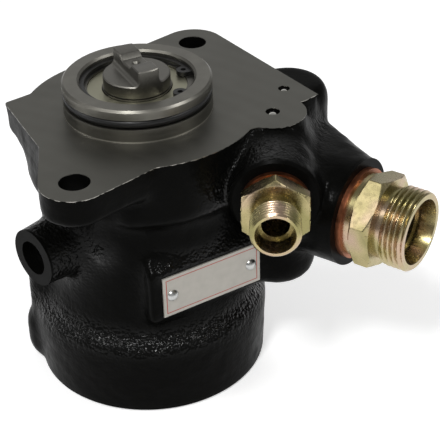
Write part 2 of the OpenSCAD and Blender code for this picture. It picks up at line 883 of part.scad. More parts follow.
// Slotted rotor, splined to the shaft
module rotor() {
    foot_r = vane_t / 2 + slot_relief;
    cut_h = cam_w + 2 * over;
    color(steel) difference() {
        translate([0, 0, rear_top + run_gap]) cylinder(r = rotor_r, h = cam_w - 2 * run_gap);
        translate([0, 0, rear_top - over]) linear_extrude(cut_h) spline_outline(seat_gap);
        for (i = [0:vane_n - 1]) {
            rotate([0, 0, (i + 0.5) * 360 / vane_n]) {
                translate([rotor_r - slot_depth, -vane_t / 2 - run_gap / 2, rear_top - over])
                    cube([slot_depth + over, vane_t + run_gap, cut_h]);
                translate([rotor_r - slot_depth, 0, rear_top - over]) cylinder(r = foot_r, h = cut_h);
            }
        }
    }
}

// Sliding vanes, drawn back into their slots
module vanes() {
    lift = 0.1;
    color(vane_steel) for (i = [0:vane_n - 1]) {
        rotate([0, 0, (i + 0.5) * 360 / vane_n])
            translate([rotor_r - slot_depth + slot_relief, -vane_t / 2, rear_top + 2 * run_gap])
            cube([slot_depth - slot_relief + lift, vane_t, cam_w - 4 * run_gap]);
    }
}

// Ring on the shaft's tail that keeps the rotor in place
module rotor_circlip() {
    clip_w = 2;
    color(black_oxide) ring(tail_r + seat_gap / 2, tail_r + clip_w, rear_top - rotor_clip_t, rear_top);
}

// Bush in the rear plate that carries the shaft's tail
module rear_bush() {
    clip_room = 0.7;
    color(bronze)
        ring(tail_r + run_gap, tail_r + tail_bush_t, rear_floor, rear_top - rotor_clip_t - clip_room);
}

// Pins that line up the plates and the cam ring
module dowel_pins() {
    color(steel) for (s = [-1, 1]) {
        translate([0, s * dowel_pcd_r, rear_floor])
            cylinder(d = dowel_d, h = pot_top - rear_floor - seat_gap);
    }
}

// Coned disc spring that presses the cartridge together
module plate_spring() {
    disc_t = 1;
    inner_r = 15;
    outer_r = 26;
    color(steel) rotate_extrude() polygon([
        [inner_r, rear_floor - seat_gap / 2 - disc_t], [inner_r, rear_floor - seat_gap / 2],
        [outer_r, cover_top + disc_t + seat_gap / 2], [outer_r, cover_top + seat_gap / 2]
    ]);
}

// Turned cover that closes the pot, with a seal groove and a shallow dish
module end_cover() {
    dish_r = 24;
    dish_d = 2;
    groove_mid = cover_floor + cover_t / 2;
    color(cover_iron) difference() {
        translate([0, 0, cover_floor]) cylinder(r = cartridge_r, h = cover_t);
        translate([0, 0, cover_floor - over]) cylinder(r = dish_r, h = dish_d + over);
        ring(
            cartridge_r - groove_depth, cartridge_r + over,
            groove_mid - groove_w / 2, groove_mid + groove_w / 2
        );
    }
}

// Sealing ring of the end cover
module cover_o_ring() {
    r = groove_w / 2 - seat_gap;
    color(rubber) rotate_extrude()
        translate([cartridge_r - r - seat_gap / 4, cover_floor + cover_t / 2]) circle(r = r, $fn = 32);
}

// Square-section snap ring that holds the end cover
module cover_retaining_ring() {
    ring_w = 2.5;
    gap_w = 10;
    gap_angle = 40;
    color(black_oxide) difference() {
        ring(pot_r - ring_w, pot_r + ring_bite - seat_gap, foot_z + rim_h, cover_floor - seat_gap / 2);
        rotate([0, 0, gap_angle]) translate([0, -gap_w / 2, foot_z])
            cube([pot_r + 2 * ring_bite, gap_w, rim_h + ring_t + over]);
    }
}

// Screwed hose union along Z: port thread below zero, hexagon and hose thread above
module union_body(port_r, port_l, rim_l, flats, hex_l, thread_r, root_cut, lip, total_l, bore_r) {
    corner = flats / sqrt(3);
    rim_inset = 0.3;
    crown_r = flats / 2 + seat_gap;
    crown_slope = 1.7;
    hex_z = washer_t + rim_l;
    thread_z = hex_z + hex_l + neck_l;
    mouth_r = thread_r - lip;
    cone_l = socket_step / tan(seat_slope);
    difference() {
        union() {
            translate([0, 0, -port_l]) cylinder(r = port_r, h = port_l + washer_t + eps);
            translate([0, 0, washer_t]) cylinder(r = flats / 2 - rim_inset, h = rim_l + eps);
            intersection() {
                translate([0, 0, hex_z]) cylinder(r = corner, h = hex_l, $fn = 6);
                translate([0, 0, hex_z])
                    cylinder(r1 = crown_r, r2 = crown_r + hex_l * crown_slope, h = hex_l);
                translate([0, 0, hex_z])
                    cylinder(r1 = crown_r + hex_l * crown_slope, r2 = crown_r, h = hex_l);
            }
            translate([0, 0, hex_z + hex_l - eps]) cylinder(r = thread_r - root_cut, h = neck_l + 2 * eps);
            translate([0, 0, thread_z])
                cylinder(r1 = thread_r - thread_bevel, r2 = thread_r, h = thread_bevel);
            translate([0, 0, thread_z + thread_bevel])
                cylinder(r = thread_r, h = total_l - thread_z - 2 * thread_bevel);
            translate([0, 0, total_l - thread_bevel])
                cylinder(r1 = thread_r, r2 = thread_r - thread_bevel, h = thread_bevel);
        }
        translate([0, 0, -port_l - over]) cylinder(r = bore_r, h = port_l + total_l);
        translate([0, 0, total_l - socket_l]) cylinder(r = mouth_r - socket_step, h = socket_l + over);
        translate([0, 0, total_l - cone_l])
            cylinder(r1 = mouth_r - socket_step, r2 = mouth_r, h = cone_l + eps);
    }
}

// Larger union, for the suction hose
module suction_union() {
    rim_l = 2.7;
    hex_l = 8;
    hex_turn = 13.7;
    root_cut = 1.6;
    lip = 2.75;
    color(zinc) on_suction() translate([0, 0, suction_face]) rotate([0, 0, hex_turn]) union_body(
        suction_thread_r - run_gap, suction_thread_l - union_relief, rim_l, suction_flats, hex_l,
        suction_thread / 2, root_cut, lip, suction_l, suction_bore / 2
    );
}

// Smaller union, for the pressure pipe
module pressure_union() {
    rim_l = 1.5;
    hex_l = 6;
    hex_turn = 30;
    root_cut = 1.2;
    lip = 1.85;
    color(zinc) on_pressure() rotate([0, 0, hex_turn]) union_body(
        port_thread_r - run_gap, port_thread_l - union_relief, rim_l, pressure_flats, hex_l,
        pressure_thread / 2, root_cut, lip, pressure_l, pressure_bore / 2
    );
}

// Sealing washer under the suction union
module suction_washer() {
    color(copper) on_suction() translate([0, 0, suction_face])
        ring(suction_thread_r + seat_gap, suction_thread_r + suction_washer_w, 0, washer_t);
}

// Sealing washer under the pressure union
module pressure_washer() {
    color(copper) on_pressure()
        ring(port_thread_r + seat_gap, port_thread_r + pressure_washer_w, 0, washer_t);
}

// Flow control spool with its metering land, waist and spring pocket
module flow_control_spool() {
    land_l = 9;
    waist = 2.5;
    color(steel) translate([barrel_x, 0, -barrel_z]) rotate([-90, 0, 0]) difference() {
        translate([0, 0, spool_front]) cylinder(r = spool_r, h = spool_l);
        translate([0, 0, spool_front + land_l]) difference() {
            cylinder(r = spool_r + over, h = spool_l - 2 * land_l);
            translate([0, 0, -over]) cylinder(r = spool_r - waist, h = spool_l);
        }
        translate([0, 0, spool_back - pocket_l]) cylinder(r = pocket_r, h = pocket_l + over);
    }
}

// A point on the skin of the valve spring's wire
function coil_point(t, r, pitch, wire_r, a) =
    [(r + wire_r * cos(a)) * cos(t), (r + wire_r * cos(a)) * sin(t), pitch * t / 360 + wire_r * sin(a)];

// Coil spring that holds the spool against the pressure union
module flow_control_spring() {
    wire_r = spring_wire / 2;
    coil_r = pocket_r - wire_r - seat_gap;
    sides = 8;
    steps = 20;
    seat_z = spool_back - pocket_l + wire_r + seat_gap;
    last = spring_turns * steps;
    pitch = (valve_end - seat_gap - wire_r - seat_z) / spring_turns;
    points = [
        for (i = [0:last]) for (j = [0:sides - 1])
            coil_point(i * 360 / steps, coil_r, pitch, wire_r, -j * 360 / sides)
    ];
    walls = [
        for (i = [0:last - 1]) for (j = [0:sides - 1])
            [for (c = [[0, 0], [0, 1], [1, 1], [1, 0]]) (i + c[0]) * sides + (j + c[1]) % sides]
    ];
    first_cap = [for (j = [sides - 1:-1:0]) j];
    last_cap = [for (j = [0:sides - 1]) last * sides + j];
    color(steel) translate([barrel_x, seat_z, -barrel_z]) rotate([-90, 0, 0])
        polyhedron(points, concat([first_cap], walls, [last_cap]));
}

// Sunk screw plug with a hexagon socket
module side_plug() {
    plug_l = plug_depth - plug_sink - over;
    socket = 6;
    socket_depth = 5;
    color(paint) radial(plug_angle, plug_z) difference() {
        translate([0, 0, plug_face - plug_sink - plug_l]) cylinder(d = plug_d - 2 * run_gap, h = plug_l);
        translate([0, 0, plug_face - plug_sink - socket_depth])
            cylinder(d = socket * 2 / sqrt(3), h = socket_depth + over, $fn = 6);
    }
}

// Steel balls that close the drilled galleries in the flange face
module gallery_plugs() {
    depth = 0.4;
    color(steel) {
        translate(concat(gallery_a, -gallery_a_d / 2 - depth)) sphere(d = gallery_a_d - 2 * run_gap);
        translate(concat(gallery_b, -gallery_b_d / 2 - depth)) sphere(d = gallery_b_d - 2 * run_gap);
    }
}

// Turns its children to face the pad, with X along the plate and Y up it
module on_pad() {
    rotate([0, 0, plate_angle]) translate([pad_face, plate_shift, -plate_z]) rotate([90, 0, 90]) children();
}

// Bare rolled plate with two rivet holes
module name_plate() {
    color(aluminium) on_pad() difference() {
        translate([-plate_w / 2, -plate_h / 2, 0]) cube([plate_w, plate_h, plate_t]);
        for (s = [-1, 1]) {
            translate([s * (plate_w / 2 - rivet_inset), 0, -over])
                cylinder(d = rivet_d / 2 + 2 * seat_gap, h = plate_t + 2 * over);
        }
    }
}

// Domed drive rivets that hold the plate
module plate_rivets() {
    dome_share = 0.3;
    dome_h = rivet_d * dome_share;
    dome_r = (rivet_d * rivet_d / 4 + dome_h * dome_h) / (2 * dome_h);
    color(steel) on_pad() for (s = [-1, 1]) {
        translate([s * (plate_w / 2 - rivet_inset), 0, plate_t]) {
            intersection() {
                translate([0, 0, dome_h - dome_r]) sphere(r = dome_r);
                translate([-rivet_d, -rivet_d, 0]) cube(2 * rivet_d);
            }
            translate([0, 0, -plate_t]) cylinder(d = rivet_d / 2, h = plate_t + eps);
        }
    }
}

pump_housing();
pilot_o_ring();
drive_shaft();
bearing_outer_race();
bearing_inner_race();
bearing_balls();
bearing_cage();
bearing_shield();
bearing_circlip();
shaft_circlip();
shaft_seal();
shaft_bush();
front_plate();
cam_ring();
rotor();
vanes();
rotor_circlip();
rear_plate();
rear_bush();
dowel_pins();
plate_spring();
end_cover();
cover_o_ring();
cover_retaining_ring();
suction_union();
suction_washer();
pressure_union();
pressure_washer();
flow_control_spool();
flow_control_spring();
side_plug();
gallery_plugs();
name_plate();
plate_rivets();
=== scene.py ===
import math

import bmesh
import bpy
import numpy as np
from mathutils import Matrix, Vector
from mathutils.bvhtree import BVHTree


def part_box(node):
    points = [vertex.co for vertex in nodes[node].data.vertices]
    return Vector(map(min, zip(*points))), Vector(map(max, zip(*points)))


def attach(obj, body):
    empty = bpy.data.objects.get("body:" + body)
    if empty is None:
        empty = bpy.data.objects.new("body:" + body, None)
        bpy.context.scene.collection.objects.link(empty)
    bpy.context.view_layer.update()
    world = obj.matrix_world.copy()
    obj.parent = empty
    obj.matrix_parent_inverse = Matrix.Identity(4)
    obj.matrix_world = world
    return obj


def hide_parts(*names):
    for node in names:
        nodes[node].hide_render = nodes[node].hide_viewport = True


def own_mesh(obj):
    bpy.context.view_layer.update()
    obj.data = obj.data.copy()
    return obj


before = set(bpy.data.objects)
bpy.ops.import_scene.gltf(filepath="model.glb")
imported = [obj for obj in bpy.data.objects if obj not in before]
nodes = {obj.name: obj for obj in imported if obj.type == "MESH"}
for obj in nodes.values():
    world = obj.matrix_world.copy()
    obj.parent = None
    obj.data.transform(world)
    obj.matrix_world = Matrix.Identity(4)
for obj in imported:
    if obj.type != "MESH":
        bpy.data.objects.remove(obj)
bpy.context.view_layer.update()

MM = 0.001


# Pump casting. One sand-cast iron body with a bolt flange, a pilot spigot, a drum, a foot ring
# and a port block. It is painted black all over, then the flange face, the spigot and the bores
# are machined bare. Its cast skin has soft fillets, and its machined skin stays sharp.
BOLT_CIRCLE_R, BOLT_ANGLE, BOLT_ZONE_R = 56.0, math.radians(72.5), 5.8
BOLT_AT = BOLT_CIRCLE_R * np.array([math.cos(BOLT_ANGLE), math.sin(BOLT_ANGLE)])
PILOT_R = 27.5
INNER_R = 38.9
FOOT_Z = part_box("pump_housing")[0].z / MM
VALVE_X = 50.5
CROSS_Y, CROSS_R, CROSS_LOW, CROSS_HIGH = -4.4, 7.4, -65.0, -25.0
PRESSURE_ROOT = np.array([VALVE_X, -37.0, -18.0])
PRESSURE_DIR = np.array([0.0, -1.0, 0.0])
SUCTION_ANGLE = math.radians(-32)
SUCTION_DIR = np.array([math.cos(SUCTION_ANGLE), math.sin(SUCTION_ANGLE), 0.0])
SUCTION_ROOT = np.array([VALVE_X, CROSS_Y, -31.4]) + 35.2 * SUCTION_DIR
PLUG_ANGLE = math.radians(225)
PLUG_DIR = np.array([math.cos(PLUG_ANGLE), math.sin(PLUG_ANGLE), 0.0])
PLUG_ROOT = np.array([0.0, 0.0, -42.0]) + 53.0 * PLUG_DIR
PLATE_ANGLE = math.radians(-55)
PLATE_OUT = np.array([math.cos(PLATE_ANGLE), math.sin(PLATE_ANGLE), 0.0])
PLATE_ALONG = np.array([-math.sin(PLATE_ANGLE), math.cos(PLATE_ANGLE), 0.0])
PLATE_CENTRE = 42.0 * PLATE_OUT + 3.3 * PLATE_ALONG + np.array([0.0, 0.0, -54.8])
PLATE_W, PLATE_H = 42.0, 17.0
EDGE_STRIP = 0.9

# Each port's root and direction, the radius of its faced ring, and its bore's radius and depth. The
# pressure port leads into the valve's bore, so its depth takes in the whole block.
PORTS = ((PRESSURE_ROOT, PRESSURE_DIR, 17.0, 9.3, 200.0),
         (SUCTION_ROOT, SUCTION_DIR, 21.0, 13.3, 37.0),
         (PLUG_ROOT, PLUG_DIR, 11.6, 6.9, 15.0))


def along_axis(points, root, direction):
    """Distance of each point along an axis from its root, and away from the axis."""
    offset = points - root
    reach = offset @ direction
    return reach, np.linalg.norm(offset - reach[:, None] * direction, axis=1)


def machined(points, grow=0.0):
    """True for points in millimetres on the machined skin, with its strips grown by a distance."""
    x, y, z = points.T
    rim = EDGE_STRIP + grow
    zone = (z > -rim) | (z < FOOT_Z + rim) | (np.hypot(x, y) < INNER_R)
    for side in (1, -1):
        zone |= np.hypot(x - side * BOLT_AT[0], y - side * BOLT_AT[1]) < BOLT_ZONE_R
    for root, direction, face_r, bore_r, depth in PORTS:
        reach, away = along_axis(points, root, direction)
        zone |= ((reach > -rim) & (away < face_r)) | ((reach > -depth) & (away < bore_r))
    crossing = np.hypot(x - VALVE_X, y - CROSS_Y) < CROSS_R
    return zone | (crossing & (z > CROSS_LOW) & (z < CROSS_HIGH))


def mesh_points(mesh):
    """The mesh's vertices as an array, in millimetres."""
    flat = np.empty(len(mesh.vertices) * 3)
    mesh.vertices.foreach_get("co", flat)
    return flat.reshape(-1, 3) / MM


def new_object(name, mesh):
    """A mesh object at the origin, in the scene."""
    obj = bpy.data.objects.new(name, mesh)
    bpy.context.scene.collection.objects.link(obj)
    return obj


def plain_mesh(obj):
    """Turns an object with modifiers into a plain mesh, and returns the mesh."""
    bpy.context.view_layer.update()
    shape = obj.evaluated_get(bpy.context.evaluated_depsgraph_get())
    mesh = bpy.data.meshes.new_from_object(shape)
    obj.modifiers.clear()
    obj.data = mesh
    return mesh


def solid_copy(name):
    """A copy of a CAD solid's mesh, with its corners joined and its stored normals dropped."""
    mesh = nodes[name].data.copy()
    mesh.attributes.remove(mesh.attributes["custom_normal"])
    copy = bmesh.new()
    copy.from_mesh(mesh)
    bpy.data.meshes.remove(mesh)
    bmesh.ops.remove_doubles(copy, verts=copy.verts, dist=0.002 * MM)
    return copy


# The cast skin starts as an even net of small faces over the solid.
VOXEL = 1.0
solid = solid_copy("pump_housing")
solid_tree = BVHTree.FromBMesh(solid)
skin_mesh = bpy.data.meshes.new("cast_skin")
solid.to_mesh(skin_mesh)
skin = new_object("cast_skin", skin_mesh)
remesh = skin.modifiers.new("net", "REMESH")
remesh.mode = "VOXEL"
remesh.voxel_size = VOXEL * MM
skin_mesh = plain_mesh(skin)

points = mesh_points(skin_mesh)
edges = np.empty(len(skin_mesh.edges) * 2, dtype=np.int64)
skin_mesh.edges.foreach_get("vertices", edges)
edges = edges.reshape(-1, 2)
degree = np.bincount(edges.ravel(), minlength=len(points))
snapped = np.empty_like(points)
for i, point in enumerate(points):
    snapped[i] = np.array(solid_tree.find_nearest(Vector(point * MM))[0]) / MM


def neighbour_mean(values):
    """Mean of each vertex's neighbours on the cast skin."""
    total = np.zeros_like(values)
    for column in range(values.shape[1]):
        total[:, column] = (np.bincount(edges[:, 0], values[edges[:, 1], column], len(values))
                            + np.bincount(edges[:, 1], values[edges[:, 0], column], len(values)))
    return total / degree[:, None]


def skin_normals(values):
    """Outward normals of the cast skin's vertices."""
    skin_mesh.vertices.foreach_set("co", (values * MM).ravel())
    skin_mesh.update()
    flat = np.empty(len(values) * 3)
    skin_mesh.vertices.foreach_get("normal", flat)
    return flat.reshape(-1, 3)


# Inner corners fill up to soft fillets. The skin keeps still beside the machined faces and on the
# pad under the plate.
FADE_STEPS, FADE_NEAR, FADE_FAR = 8, 0.5, 4.0
PAD_DEPTH, PAD_FADE = 4.0, 2.5
FILL_STEPS, FILL_SHARE = 46, 0.9
ROUND_STEPS, FILLET_STEPS, RELAX = 8, 24, 0.5
FILLET_RISE = 0.8
keep = np.ones(len(points))
for grow in np.linspace(FADE_NEAR, FADE_FAR, FADE_STEPS):
    keep -= machined(snapped, grow) / FADE_STEPS
beside = np.abs((snapped - PLATE_CENTRE) @ PLATE_ALONG) - PLATE_W / 2
above = np.abs(snapped[:, 2] - PLATE_CENTRE[2]) - PLATE_H / 2
proud = (snapped - PLATE_CENTRE) @ PLATE_OUT
off_pad = np.maximum(np.maximum(beside, above), -proud - PAD_DEPTH)
keep *= np.clip(off_pad / PAD_FADE, 0, 1)
points = snapped + (points - snapped) * keep[:, None]
unfilled = points.copy()
for _ in range(FILL_STEPS):
    normal = skin_normals(points)
    rise = ((neighbour_mean(points) - points) * normal).sum(1)
    points += normal * (np.clip(rise, 0, None) * FILL_SHARE * keep)[:, None]
for _ in range(ROUND_STEPS):
    points += (neighbour_mean(points) - points) * (RELAX * keep)[:, None]
filled = np.linalg.norm(points - unfilled, axis=1)
fillet = keep * np.clip(filled / FILLET_RISE, 0, 1)
for _ in range(FILLET_STEPS):
    points += (neighbour_mean(points) - points) * (RELAX * fillet)[:, None]


def near(distance, reach):
    """Fades from 1 at a place to 0 away from it, over a reach in millimetres."""
    return np.exp(-(distance / reach) ** 2)


# The sand's grain and the pooled paint lie along the ledge over the foot ring, round the plug boss,
# at the corners of the port block, on a pimple in the drum and on the shoulder over the plate.
LEDGE_UP, LEDGE_REACH = 31.0, 4.5
BOSS_BACK, BOSS_HALF, BOSS_REACH = 8.0, 14.0, 12.0
PORT_CORNERS = np.array([[46.0, -28.0, -7.0], [37.0, -31.0, -15.0]])
PORT_REACH = 10.0
PIMPLE, PIMPLE_REACH = np.array([-12.0, -37.0, -40.0]), 4.5
SHOULDER_UP, SHOULDER_REACH, SHOULDER_DEPTH = 11.0, 2.6, 7.0
CORNER_RISE = 1.4
UP_FROM, UP_OVER = 0.15, 0.4
SPREAD_STEPS, SPREAD = 24, 0.6
z = points[:, 2]
facing_up = np.clip((skin_normals(points)[:, 2] - UP_FROM) / UP_OVER, 0, 1)
ledge = near(z - FOOT_Z - LEDGE_UP, LEDGE_REACH)
boss_reach, boss_away = along_axis(points, PLUG_ROOT - BOSS_BACK * PLUG_DIR, PLUG_DIR)
boss = near(boss_away, BOSS_REACH) * (np.abs(boss_reach) < BOSS_HALF)
from_port = [np.linalg.norm(points - spot, axis=1) for spot in PORT_CORNERS]
port = near(np.min(from_port, axis=0), PORT_REACH)
pimple = near(np.linalg.norm(points - PIMPLE, axis=1), PIMPLE_REACH)
shoulder = near(z - PLATE_CENTRE[2] - SHOULDER_UP, SHOULDER_REACH) * (beside < 1)
shoulder *= near(proud, SHOULDER_DEPTH)
corner = np.clip(filled / CORNER_RISE, 0, 1)
rough = np.clip(0.06 + 0.3 * corner + 0.9 * ledge + boss + port + pimple + 0.8 * shoulder, 0, 1)
pooled = np.clip(0.2 * corner + ledge, 0, 1) * facing_up
pooled = np.clip(pooled + boss + pimple + port + shoulder, 0, 1)
zones = np.stack([rough, pooled], axis=1)
for _ in range(SPREAD_STEPS):
    zones += (neighbour_mean(zones) - zones) * SPREAD
rough, pooled = zones.T


def cast_noise(points, size, seed, count=24):
    """Smooth random heights from -1 to 1 for points in millimetres, with bumps of that size."""
    draw = np.random.default_rng(seed)
    height = np.zeros(len(points))
    for _ in range(count):
        wave = draw.normal(size=3)
        wave *= 2 * math.pi / (np.linalg.norm(wave) * size * draw.uniform(0.7, 1.6))
        height += np.sin(points @ wave + draw.uniform(0, 2 * math.pi))
    return height / math.sqrt(count)


# The skin is uneven, more so where the grain shows. It tucks in a little under the machined faces
# and stays inside the solid's box.
CAST_WAVE, BROAD_WAVE, FINE_WAVE = 0.10, 9.0, 3.2
TUCK, TUCK_KEEP = 0.03, 0.2
waves = cast_noise(points, BROAD_WAVE, 11) * 0.6
waves += cast_noise(points, FINE_WAVE, 12) * (0.3 + 0.7 * rough)
points += skin_normals(points) * (CAST_WAVE * waves * keep)[:, None]
points -= skin_normals(points) * (TUCK * (keep < TUCK_KEEP))[:, None]
low, high = (np.array(end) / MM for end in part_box("pump_housing"))
points = np.clip(points, low, high)
skin_mesh.vertices.foreach_set("co", (points * MM).ravel())
skin_mesh.update()

PAINTED, MILLED, TURNED = 0, 1, 2
SKIN_LAP, ON_FACE, OFF_FACE = 0.4, 0.05, 0.01
SHARP_TURN = math.radians(32)
body = bmesh.new()
body.from_mesh(skin_mesh)
grain_layer = body.verts.layers.float.new("grain")
pool_layer = body.verts.layers.float.new("pooled")
body.verts.ensure_lookup_table()
covered = machined(points, -SKIN_LAP)
for vert in body.verts:
    vert[grain_layer] = rough[vert.index]
    vert[pool_layer] = pooled[vert.index]
bmesh.ops.delete(body, geom=[f for f in body.faces if all(covered[v.index] for v in f.verts)],
                 context="FACES")
bmesh.ops.delete(body, geom=[v for v in body.verts if not v.link_faces], context="VERTS")
for face in body.faces:
    face.material_index = PAINTED
    face.smooth = True

# The machined faces come from the solid itself, cut off a narrow strip behind each of them.
faced = [((0, 0, 0), (0, 0, 1)), ((0, 0, FOOT_Z), (0, 0, -1))]
faced += [(root, direction) for root, direction, *_ in PORTS]
for root, direction in faced:
    cut = (np.array(root) - EDGE_STRIP * np.array(direction)) * MM
    bmesh.ops.bisect_plane(solid, geom=solid.verts[:] + solid.edges[:] + solid.faces[:],
                           plane_co=cut, plane_no=direction, dist=0.0005 * MM)
centres = np.array([f.calc_center_median() for f in solid.faces]) / MM
on_skin = machined(centres)
bmesh.ops.delete(solid, geom=[f for f, kept in zip(solid.faces[:], on_skin) if not kept], context="FACES")
bmesh.ops.delete(solid, geom=[v for v in solid.verts if not v.link_faces], context="VERTS")
for name in ("grain", "pooled"):
    solid.verts.layers.float.new(name)
for face in solid.faces:
    centre = face.calc_center_median() / MM
    from_shaft = math.hypot(centre.x, centre.y)
    face.material_index = PAINTED
    on_flange = centre.z > -ON_FACE and face.normal.z > 0.9
    if on_flange or centre.z > OFF_FACE or centre.z < FOOT_Z + ON_FACE:
        face.material_index = MILLED
    on_spigot = from_shaft < PILOT_R + 2 * ON_FACE and centre.z > OFF_FACE
    if on_spigot or (from_shaft < INNER_R and centre.z < -EDGE_STRIP):
        face.material_index = TURNED
    face.smooth = True
machined_mesh = bpy.data.meshes.new("machined_skin")
solid.to_mesh(machined_mesh)
body.from_mesh(machined_mesh)
casting_mesh = bpy.data.meshes.new("pump_casting")
body.to_mesh(casting_mesh)
casting_mesh.set_sharp_from_angle(angle=SHARP_TURN)
bpy.data.objects.remove(skin)
casting = new_object("pump_casting", casting_mesh)


def linear(hex_colour):
    """An sRGB hex colour as the linear colour that a shader socket takes."""
    channels = [int(hex_colour[i:i + 2], 16) / 255 for i in (1, 3, 5)]
    return [c / 12.92 if c <= 0.04045 else ((c + 0.055) / 1.055) ** 2.4 for c in channels] + [1.0]


def add(tree, kind, inputs=None, **settings):
    """Adds a node with its settings. An input is a value, or another node's output to link."""
    made = tree.nodes.new(kind)
    for key, value in settings.items():
        setattr(made, key, value)
    for key, value in (inputs or {}).items():
        if isinstance(value, bpy.types.NodeSocket):
            tree.links.new(value, made.inputs[key])
        else:
            made.inputs[key].default_value = value
    return made


def new_material(name, **sockets):
    """A material with one Principled shader, its plain sockets set. Returns all three."""
    material = bpy.data.materials.new(name)
    material.use_nodes = True
    tree = material.node_tree
    shader = tree.nodes["Principled BSDF"]
    for key, value in sockets.items():
        shader.inputs[key.replace("_", " ")].default_value = value
    return material, tree, shader


# Black paint on sand-cast iron: near black and satin on the smooth walls. Where the sand's grain
# shows, it dries glossy over the bumps and sparkles. Along the flange's edge it has chipped off,
# down to bright iron. The grain is drawn coarser than real sand, so that it shows.
PAINT_DARK, PAINT_LIGHT, CHIP_COLOUR = "#060605", "#0b0b0a", "#a09d96"
SAND_GRAIN, SAND_HEIGHT, PAINT_LUMP = 1.2, 0.9, 4.0
CHIP_REACH, CHIP_SIZE = 0.8, 2.5
paint, tree, shader = new_material("black_paint_on_cast_iron", Specular_IOR_Level=0.025,
                                   Coat_Roughness=0.08, Coat_IOR=1.3)
place = add(tree, "ShaderNodeTexCoord").outputs["Object"]
rough_skin = add(tree, "ShaderNodeAttribute", attribute_name="grain").outputs["Fac"]
lacquer = add(tree, "ShaderNodeAttribute", attribute_name="pooled").outputs["Fac"]
sand = add(tree, "ShaderNodeTexNoise", {"Vector": place, "Scale": 1 / (SAND_GRAIN * MM), "Detail": 1.0,
                                        "Roughness": 0.4})
lumps = add(tree, "ShaderNodeTexNoise", {"Vector": place, "Scale": 1 / (PAINT_LUMP * MM), "Detail": 2.0})
tone = add(tree, "ShaderNodeMix", {"Factor": lumps.outputs["Fac"], "A": linear(PAINT_DARK),
                                   "B": linear(PAINT_LIGHT)}, data_type="RGBA")
satin = add(tree, "ShaderNodeMapRange", {"Value": lumps.outputs["Fac"], "From Min": 0.3, "From Max": 0.7,
                                         "To Min": 0.28, "To Max": 0.40})
level = add(tree, "ShaderNodeMath", {0: sand.outputs["Fac"], 1: 0.5}, operation="SUBTRACT")
height = add(tree, "ShaderNodeMath", {0: level.outputs[0], 1: rough_skin}, operation="MULTIPLY")
bump = add(tree, "ShaderNodeBump", {"Height": height.outputs[0], "Strength": 1.0,
                                    "Distance": SAND_HEIGHT * MM})
height_z = add(tree, "ShaderNodeSeparateXYZ", {0: place}).outputs["Z"]
edge = add(tree, "ShaderNodeMapRange", {"Value": height_z, "From Min": -CHIP_REACH * MM, "From Max": 0.0})
flakes = add(tree, "ShaderNodeTexNoise", {"Vector": place, "Scale": 1 / (CHIP_SIZE * MM), "Detail": 4.0})
flaked = add(tree, "ShaderNodeMath", {0: edge.outputs["Result"], 1: flakes.outputs["Fac"]},
             operation="MULTIPLY")
chipped = add(tree, "ShaderNodeMapRange", {"Value": flaked.outputs[0], "From Min": 0.36, "From Max": 0.46})
worn = add(tree, "ShaderNodeMix", {"Factor": chipped.outputs["Result"], "A": tone.outputs["Result"],
                                   "B": linear(CHIP_COLOUR)}, data_type="RGBA")
tree.links.new(worn.outputs["Result"], shader.inputs["Base Color"])
tree.links.new(chipped.outputs["Result"], shader.inputs["Metallic"])
tree.links.new(satin.outputs["Result"], shader.inputs["Roughness"])
tree.links.new(lacquer, shader.inputs["Coat Weight"])
tree.links.new(bump.outputs["Normal"], shader.inputs["Normal"])
tree.links.new(bump.outputs["Normal"], shader.inputs["Coat Normal"])

# Face-milled grey iron: bare, warm grey and dull, with the cutter's faint arcs across it. They are
# drawn 7.5 mm apart, coarser than the real ones, so that they show. A wave texture at a scale of 1
# repeats every WAVE_LENGTH metres.
IRON_DARK, IRON_LIGHT = "#66655f", "#73726c"
WAVE_LENGTH = 2 * math.pi / 20
ARC_STEP, ARC_HEIGHT, IRON_CLOUD = 7.54, 0.02, 14.0
CUTTER_CENTRE = (0.11, 0.16, 0.0)
milled, tree, shader = new_material("face_milled_grey_iron", Metallic=1.0)
place = add(tree, "ShaderNodeTexCoord").outputs["Object"]
centred = add(tree, "ShaderNodeMapping", {"Vector": place, "Location": CUTTER_CENTRE})
arcs = add(tree, "ShaderNodeTexWave", {"Vector": centred.outputs[0], "Distortion": 0.4, "Detail": 2.0,
                                       "Scale": WAVE_LENGTH / (ARC_STEP * MM)},
           wave_type="RINGS", rings_direction="Z")
cloud = add(tree, "ShaderNodeTexNoise", {"Vector": place, "Scale": 1 / (IRON_CLOUD * MM), "Detail": 4.0})
tone = add(tree, "ShaderNodeMix", {"Factor": cloud.outputs["Fac"], "A": linear(IRON_DARK),
                                   "B": linear(IRON_LIGHT)}, data_type="RGBA")
gloss = add(tree, "ShaderNodeMapRange", {"Value": arcs.outputs["Fac"], "To Min": 0.44, "To Max": 0.47})
bump = add(tree, "ShaderNodeBump", {"Height": arcs.outputs["Fac"], "Strength": 0.06,
                                    "Distance": ARC_HEIGHT * MM})
tree.links.new(tone.outputs["Result"], shader.inputs["Base Color"])
tree.links.new(gloss.outputs["Result"], shader.inputs["Roughness"])
tree.links.new(bump.outputs["Normal"], shader.inputs["Normal"])

